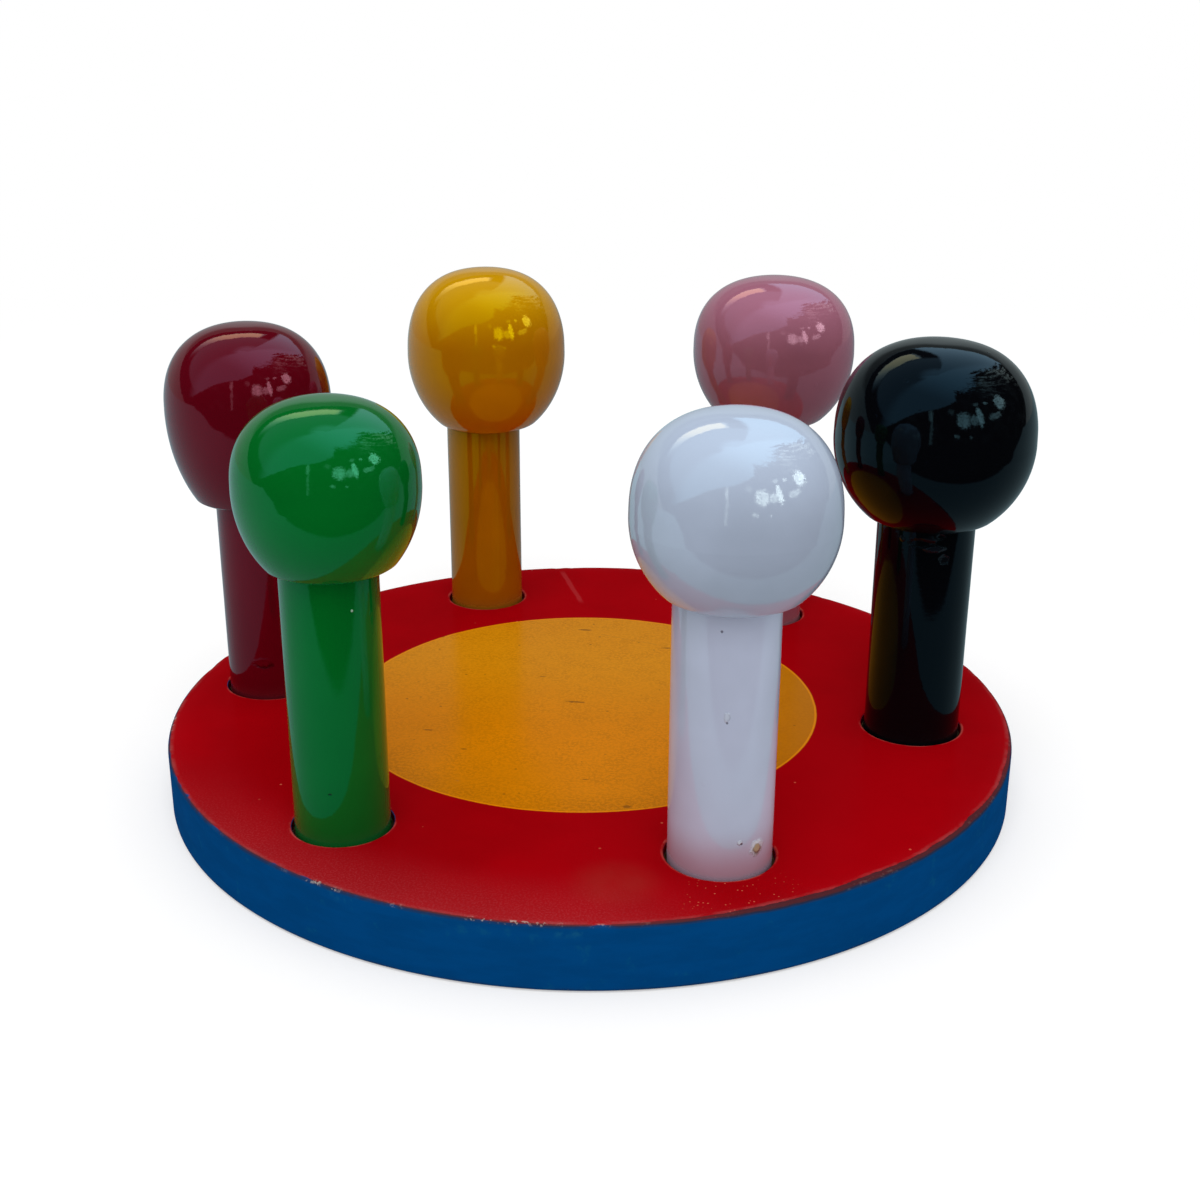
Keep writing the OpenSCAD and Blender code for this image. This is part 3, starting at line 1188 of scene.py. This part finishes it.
from_circle = bench.distance_across(CIRCLE_AT)
wobble = (bench.noise(*TAPE_WANDER) - 0.5) * 0.7 * MM + (fine - 0.5) * 0.25 * MM
circle = (from_circle + wobble).ramp(CIRCLE_R + MASKING, CIRCLE_R - MASKING)
yellow = bench.mix(broad.ramp(0.3, 0.7), darker(YELLOW, 0.92), darker(YELLOW, 1.06))
grit = bench.noise(*GRIT)
# Paler towards the far side: a painted sheen of the sky.
far_sheen = (y + coarse * 30 * MM).ramp(-20 * MM, 60 * MM)
yellow = bench.mix(far_sheen * 0.8, yellow, YELLOW_PAINTED_SHEEN)
# Darker towards the right, round the white and black pegs: painted shade.
right_painted_shade = (x + coarse * 20 * MM).ramp(36 * MM, 86 * MM)
yellow = bench.mix(right_painted_shade * 0.8, yellow, darker(YELLOW, 0.70))
inner = (from_circle + wobble).ramp(CIRCLE_R - 17 * MM, CIRCLE_R - 1 * MM)
inner = inner * turn.ramp(*NEAR_FROM) * turn.ramp(*NEAR_TO)
grainy = grit.ramp(0.56, 0.44) * (0.30 + coarse.ramp(0.4, 0.65) * 0.25 + inner * 0.4)
yellow = bench.mix(grainy, yellow, darker(YELLOW, 0.66))
yellow = bench.mix(inner * 0.35, yellow, darker(YELLOW, 0.76))
rim = (from_circle + wobble - CIRCLE_R + 0.45 * MM).size().ramp(0.5 * MM, 0.2 * MM)
yellow = bench.mix(rim * 0.7, yellow, darker(YELLOW, 1.25))
speckle = fine.ramp(0.62, 0.76) * coarse.ramp(0.3, 0.6)
yellow = bench.mix(speckle * 0.5, yellow, darker(YELLOW, 0.60))
yellow = bench.mix(bench.specks(*GRIT_SPECKS) * 0.6, yellow, GRIT_TONE)
print("circle", round(2 * CIRCLE_R / MM, 1), "mm across")

# %% [markdown]
# Dents and scratches have a tone and a depth. A dent is an ellipse with a ragged edge, and a scratch is
# a wandering line that fades at both ends. From here on the board's height is kept too, in millimetres.

# %% Board paint: dents and scratches
# Each dent: place in mm, and half width and half depth in mm
DENTS = [
    ((-13.7, 71.9), (4.0, 1.1)), ((-5.6, 1.0), (4.2, 0.9)), ((-53.0, -31.2), (2.0, 0.7)),
    ((24.5, -76.6), (1.8, 1.3)), ((-69.5, 55.0), (1.2, 1.2)), ((21.0, 58.0), (2.6, 0.7)),
    ((-37.0, -44.0), (1.2, 0.6)), ((8.0, -60.0), (1.4, 0.5)), ((-22.0, 22.0), (1.5, 0.5)),
]
DENT_TONE = paint(104, 64, 16)
# Each scratch: its two ends and its half width in mm, and its strength
SCRATCHES = [
    ((-36.8, 141.9), (-19.9, 100.6), 1.6, 0.16),
    ((-9.0, 69.0), (20.0, 59.5), 0.35, 0.35),
]
SCRATCH_ON_RED = paint(205, 90, 96)
SCRATCH_ON_YELLOW = paint(150, 92, 30)
SCRATCH_WANDER = (90, 2.0)
DENT_SINK = 0.15
PAINT_STEP = 0.03


def line_mask(bench, start, end, width):
    """A soft line on the board's top between two places, in mm."""
    start, end = Vector(start) * MM, Vector(end) * MM
    along = (end - start).normalized()
    length = (end - start).length
    u = (bench.x - start.x) * along.x + (bench.y - start.y) * along.y
    v = (bench.y - start.y) * along.x - (bench.x - start.x) * along.y
    wander = (bench.noise(*SCRATCH_WANDER) - 0.5) * 1.6 * MM
    inside = u.ramp(0.0, length * 0.15) * u.ramp(length, length * 0.85)
    return (v + wander).size().ramp(width * MM, width * 0.3 * MM) * inside


height = (fine - 0.5) * 0.010 + coarse * 0.02 + (grit - 0.5) * 0.006
for at, (wide, deep) in DENTS:
    ellipse = bench.distance((at[0] * MM, at[1] * MM, BOARD_TOP), (1 / wide, 1 / deep, 1.0)) / MM
    dent = (ellipse + (fine - 0.5) * 1.4).ramp(1.0, 0.45)
    yellow = bench.mix(dent * 0.62, yellow, DENT_TONE)
    height = height - dent * DENT_SINK
top = bench.mix(circle, red, yellow)
height = height + circle * PAINT_STEP + rim * 0.04
for start, end, width, strength in SCRATCHES:
    scratch = line_mask(bench, start, end, width)
    top = bench.mix(scratch * strength, top, bench.mix(circle, SCRATCH_ON_RED, SCRATCH_ON_YELLOW))
    height = height - scratch * 0.02
print("dents", len(DENTS), "scratches", len(SCRATCHES))

# %% [markdown]
# Pegs going in and out rub the lip of each socket pale, and its paint stands up a little round the
# mouth. Both follow the distance to the nearest socket, which is the least of six distances.

# %% Board paint: lips of the sockets
LIP_TONE = paint(196, 92, 84)
LIP_WORN, LIP_RAISED = (1.1 * MM, 0.55 * MM), (2.2 * MM, 0.8 * MM)
LIP_RISE = 0.05

nearest = None
for peg in PEGS.values():
    beyond = bench.distance_across(peg.axis) - (peg.radius + SOCKET_PLAY / 2)
    nearest = beyond if nearest is None else nearest.least(beyond)
lip = nearest.ramp(*LIP_WORN) * coarse.ramp(0.40, 0.62)
top = bench.mix(lip * 0.55, top, LIP_TONE)
height = height + nearest.ramp(*LIP_RAISED) * LIP_RISE
print("lips", len(PEGS))

# %% [markdown]
# The blue was brushed round the edge, so its tones run along it. It meets the red just below the top
# corner, at an unsteady seam with a thin dark line, and it is scuffed above and grubby below.

# %% Board paint: blue edge and seam
BLUE_PALE = paint(18, 92, 130)
SCUFF_TONE = paint(40, 120, 140)
GRUBBY = paint(34, 46, 66)
SEAM_TONE = paint(62, 50, 58)
BRUSHED = (60, 4.0, 0.65)
BRUSH_STRETCH = (0.8, 0.8, 3.0)
SCUFF_FROM, SCUFF_TO = (-150, -100), (-60, -80)
SEAM_DROP, SEAM_DEEPER = 0.10, 0.22

drawn = bench.join(x * BRUSH_STRETCH[0], y * BRUSH_STRETCH[1], z * BRUSH_STRETCH[2])
brushed = bench.noise(*BRUSHED, at=drawn)
blue = bench.mix(brushed.ramp(0.35, 0.65), darker(BLUE, 0.93), darker(BLUE, 1.05))
blue = bench.mix(bench.noise(150, 3.0, 0.7).ramp(0.60, 0.74) * 0.35, blue, BLUE_PALE)
scuff = coarse.ramp(0.56, 0.72) * z.ramp(BOARD_TOP - 5 * MM, BOARD_TOP - 1.5 * MM)
scuff = scuff * turn.ramp(*SCUFF_FROM) * turn.ramp(*SCUFF_TO)
blue = bench.mix(scuff * 0.55, blue, SCUFF_TONE)
blue = bench.mix(z.ramp(2.0 * MM, 0.4 * MM) * coarse.ramp(0.35, 0.7) * 0.5, blue, GRUBBY)
seam = z + (coarse - 0.5) * 0.5 * MM
seam_drop = SEAM_DROP * MM + turn.ramp(-112, -84) * SEAM_DEEPER * MM
under_seam = BOARD_TOP - seam - seam_drop
side = under_seam.ramp(0.0, 0.12 * MM)
look = bench.mix(side, top, blue)
seam_line = under_seam.size().ramp(0.26 * MM, 0.08 * MM) * coarse.ramp(0.34, 0.52)
seam_line = seam_line * radius.ramp(BOARD_R - 1.3 * MM, BOARD_R - 0.5 * MM)
look = bench.mix(seam_line * 0.7, look, SEAM_TONE)
print("seam drops", SEAM_DROP, "to", round(SEAM_DROP + SEAM_DEEPER, 2), "mm")

# %% [markdown]
# Along the top edge the paint is worn down to a dark undercoat: a thin line all round, and a broad
# ragged one on the side that was handled most. Pale chips, down to the filler, sit in clusters on the
# corner itself. Edge wear like this says more about age than any dirt on a flat.

# %% Board paint: worn edge
DUSTY_TONE = paint(160, 84, 86)
# The strip's widths, in mm
THIN_STRIP = 0.70
BROAD_STRIP = 1.35
HANDLED_FROM, HANDLED_TO = (-82, -60), (8, -26)
CHIPS_FROM, CHIPS_TO = (-176, -160), (-70, -90)
EDGE_WANDER = (36, 3.0)
CLUSTERS = (44, 2.0)
CHALK = (620, 3.0, 0.7)

inward = BOARD_R - radius
heavy = turn.ramp(*HANDLED_FROM) * turn.ramp(*HANDLED_TO)
uneven_edge = (coarse - 0.5) * 1.7 * MM + (fine - 0.5) * 0.7 * MM
uneven_edge = uneven_edge + (bench.noise(*EDGE_WANDER) - 0.5) * 3.6 * MM * heavy
strip_wide = THIN_STRIP * MM + heavy * BROAD_STRIP * MM
past_strip = inward + uneven_edge * (0.35 + heavy * 0.8) - strip_wide
worn = past_strip.ramp(0.22 * MM, -0.14 * MM) * seam.ramp(BOARD_TOP - 1.5 * MM, BOARD_TOP - 0.45 * MM)
thin = coarse.ramp(0.30, 0.55) * 0.55 + 0.2
worn = worn * (thin * (1 - heavy) + heavy * 0.95)
strip_tone = bench.mix(seam.ramp(BOARD_TOP - 0.16 * MM, BOARD_TOP - 0.6 * MM), UNDERCOAT, NAVY)
look = bench.mix(worn, look, strip_tone)
dusty = (past_strip - 0.5 * MM).ramp(1.2 * MM, 0.0) * (1 - worn) * (1 - side) * coarse.ramp(0.35, 0.65)
look = bench.mix(dusty * 0.4, look, DUSTY_TONE)
corner = bench.join(radius - (BOARD_R - 0.6 * MM), z - (BOARD_TOP - 0.25 * MM), 0.0)
from_corner = bench.length(corner)
clusters = turn.ramp(*CHIPS_FROM) * turn.ramp(*CHIPS_TO) * 0.9 + 0.1
clusters = bench.noise(*CLUSTERS).ramp(0.50, 0.60) * clusters
chalky = bench.noise(*CHALK).ramp(0.53, 0.62) * from_corner.ramp(0.95 * MM, 0.35 * MM) * clusters
look = bench.mix(chalky.least(1.0) * 0.7, look, FILLER)
height = height - worn * (0.06 + coarse * 0.14) - chalky * 0.12 + brushed * side * 0.03
print("worn strip up to", round(THIN_STRIP + BROAD_STRIP, 2), "mm wide")

# %% [markdown]
# Underneath, and inside the sockets, nobody painted. The blue laps a centimetre under the edge and the
# red runs a little way into each socket, and past both the wood is bare, with its grain along x.

# %% Board paint: bare wood
BOARD_DEEP = (0.27, 0.15, 0.07)
BOARD_PALE = (0.52, 0.35, 0.19)
BOARD_GRAIN = (11, 5.0, 0.7)
BOARD_STRETCH = (1.2, 26.0, 30.0)
LAP_END = (0.1395, 0.1385)
SOCKET_WALL = (0.25 * MM, 0.1 * MM)

drawn = bench.join(x * BOARD_STRETCH[0], y * BOARD_STRETCH[1], z * BOARD_STRETCH[2])
grain = bench.noise(*BOARD_GRAIN, at=drawn)
wood = bench.mix(grain.ramp(0.34, 0.66), BOARD_DEEP, BOARD_PALE)
past_lap = (radius + (coarse - 0.5) * 9 * MM).ramp(*LAP_END)
underneath = z.ramp(0.35 * MM, 0.15 * MM) * past_lap
in_socket = nearest.ramp(*SOCKET_WALL)
past_red = (z + (coarse - 0.5) * 3 * MM).ramp(BOARD_TOP - 2.4 * MM, BOARD_TOP - 3.6 * MM)
bored = in_socket * past_red
bare = underneath.most(bored)
look = bench.mix(bare, look, wood)
# The red just inside each socket is darker: painted shade in the hole.
socket_lip_shade = in_socket * (1 - bored) * z.ramp(BOARD_TOP - 0.2 * MM, BOARD_TOP - 0.6 * MM)
look = bench.mix(socket_lip_shade, look, darker(RED, 0.7))
print("board paint nodes", len(material.node_tree.nodes))

# %% [markdown]
# Satin paint is nearly dull. The yellow circle kept a thin gloss, so it has a weak clear coat, in which
# the pegs show faintly. The red and the blue have almost none, and the bare wood has none at all.

# %% Board paint: skin
SATIN = 0.50
COAT_ALL_OVER = 0.02
COAT_ON_CIRCLE = 0.20

rough = SATIN + (fine - 0.5) * 0.10 + worn * 0.2 + bare * 0.25 + haze * 0.12
gloss = COAT_ALL_OVER + circle * (1 - side) * COAT_ON_CIRCLE
skin = {
    "Base Color": look,
    "Roughness": rough.least(0.95).most(0.30),
    "Normal": bench.bump(height, MM),
    "Specular IOR Level": 0.0,
    "Coat Weight": (gloss * (1 - bare)).most(0.0),
    "Coat Roughness": 0.2,
    "Coat IOR": 1.5,
}
bench.finish(bench.node("ShaderNodeBsdfPrincipled", inputs=skin))
board.data.materials.clear()
board.data.materials.append(material)
print("board paint nodes", len(material.node_tree.nodes))

# %% [markdown]
# Each finished piece takes the place of its CAD node, and rides on that node's body, so a peg's head
# and stem lift together. The CAD nodes stay underneath, hidden.

# %% Join to the frame
for colour in COLOURS:
    for piece, node in ((heads[colour], "head_" + colour), (stems[colour], "stem_" + colour)):
        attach(piece, "peg_" + colour)
        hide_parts(node)
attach(board, "board")
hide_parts("board")
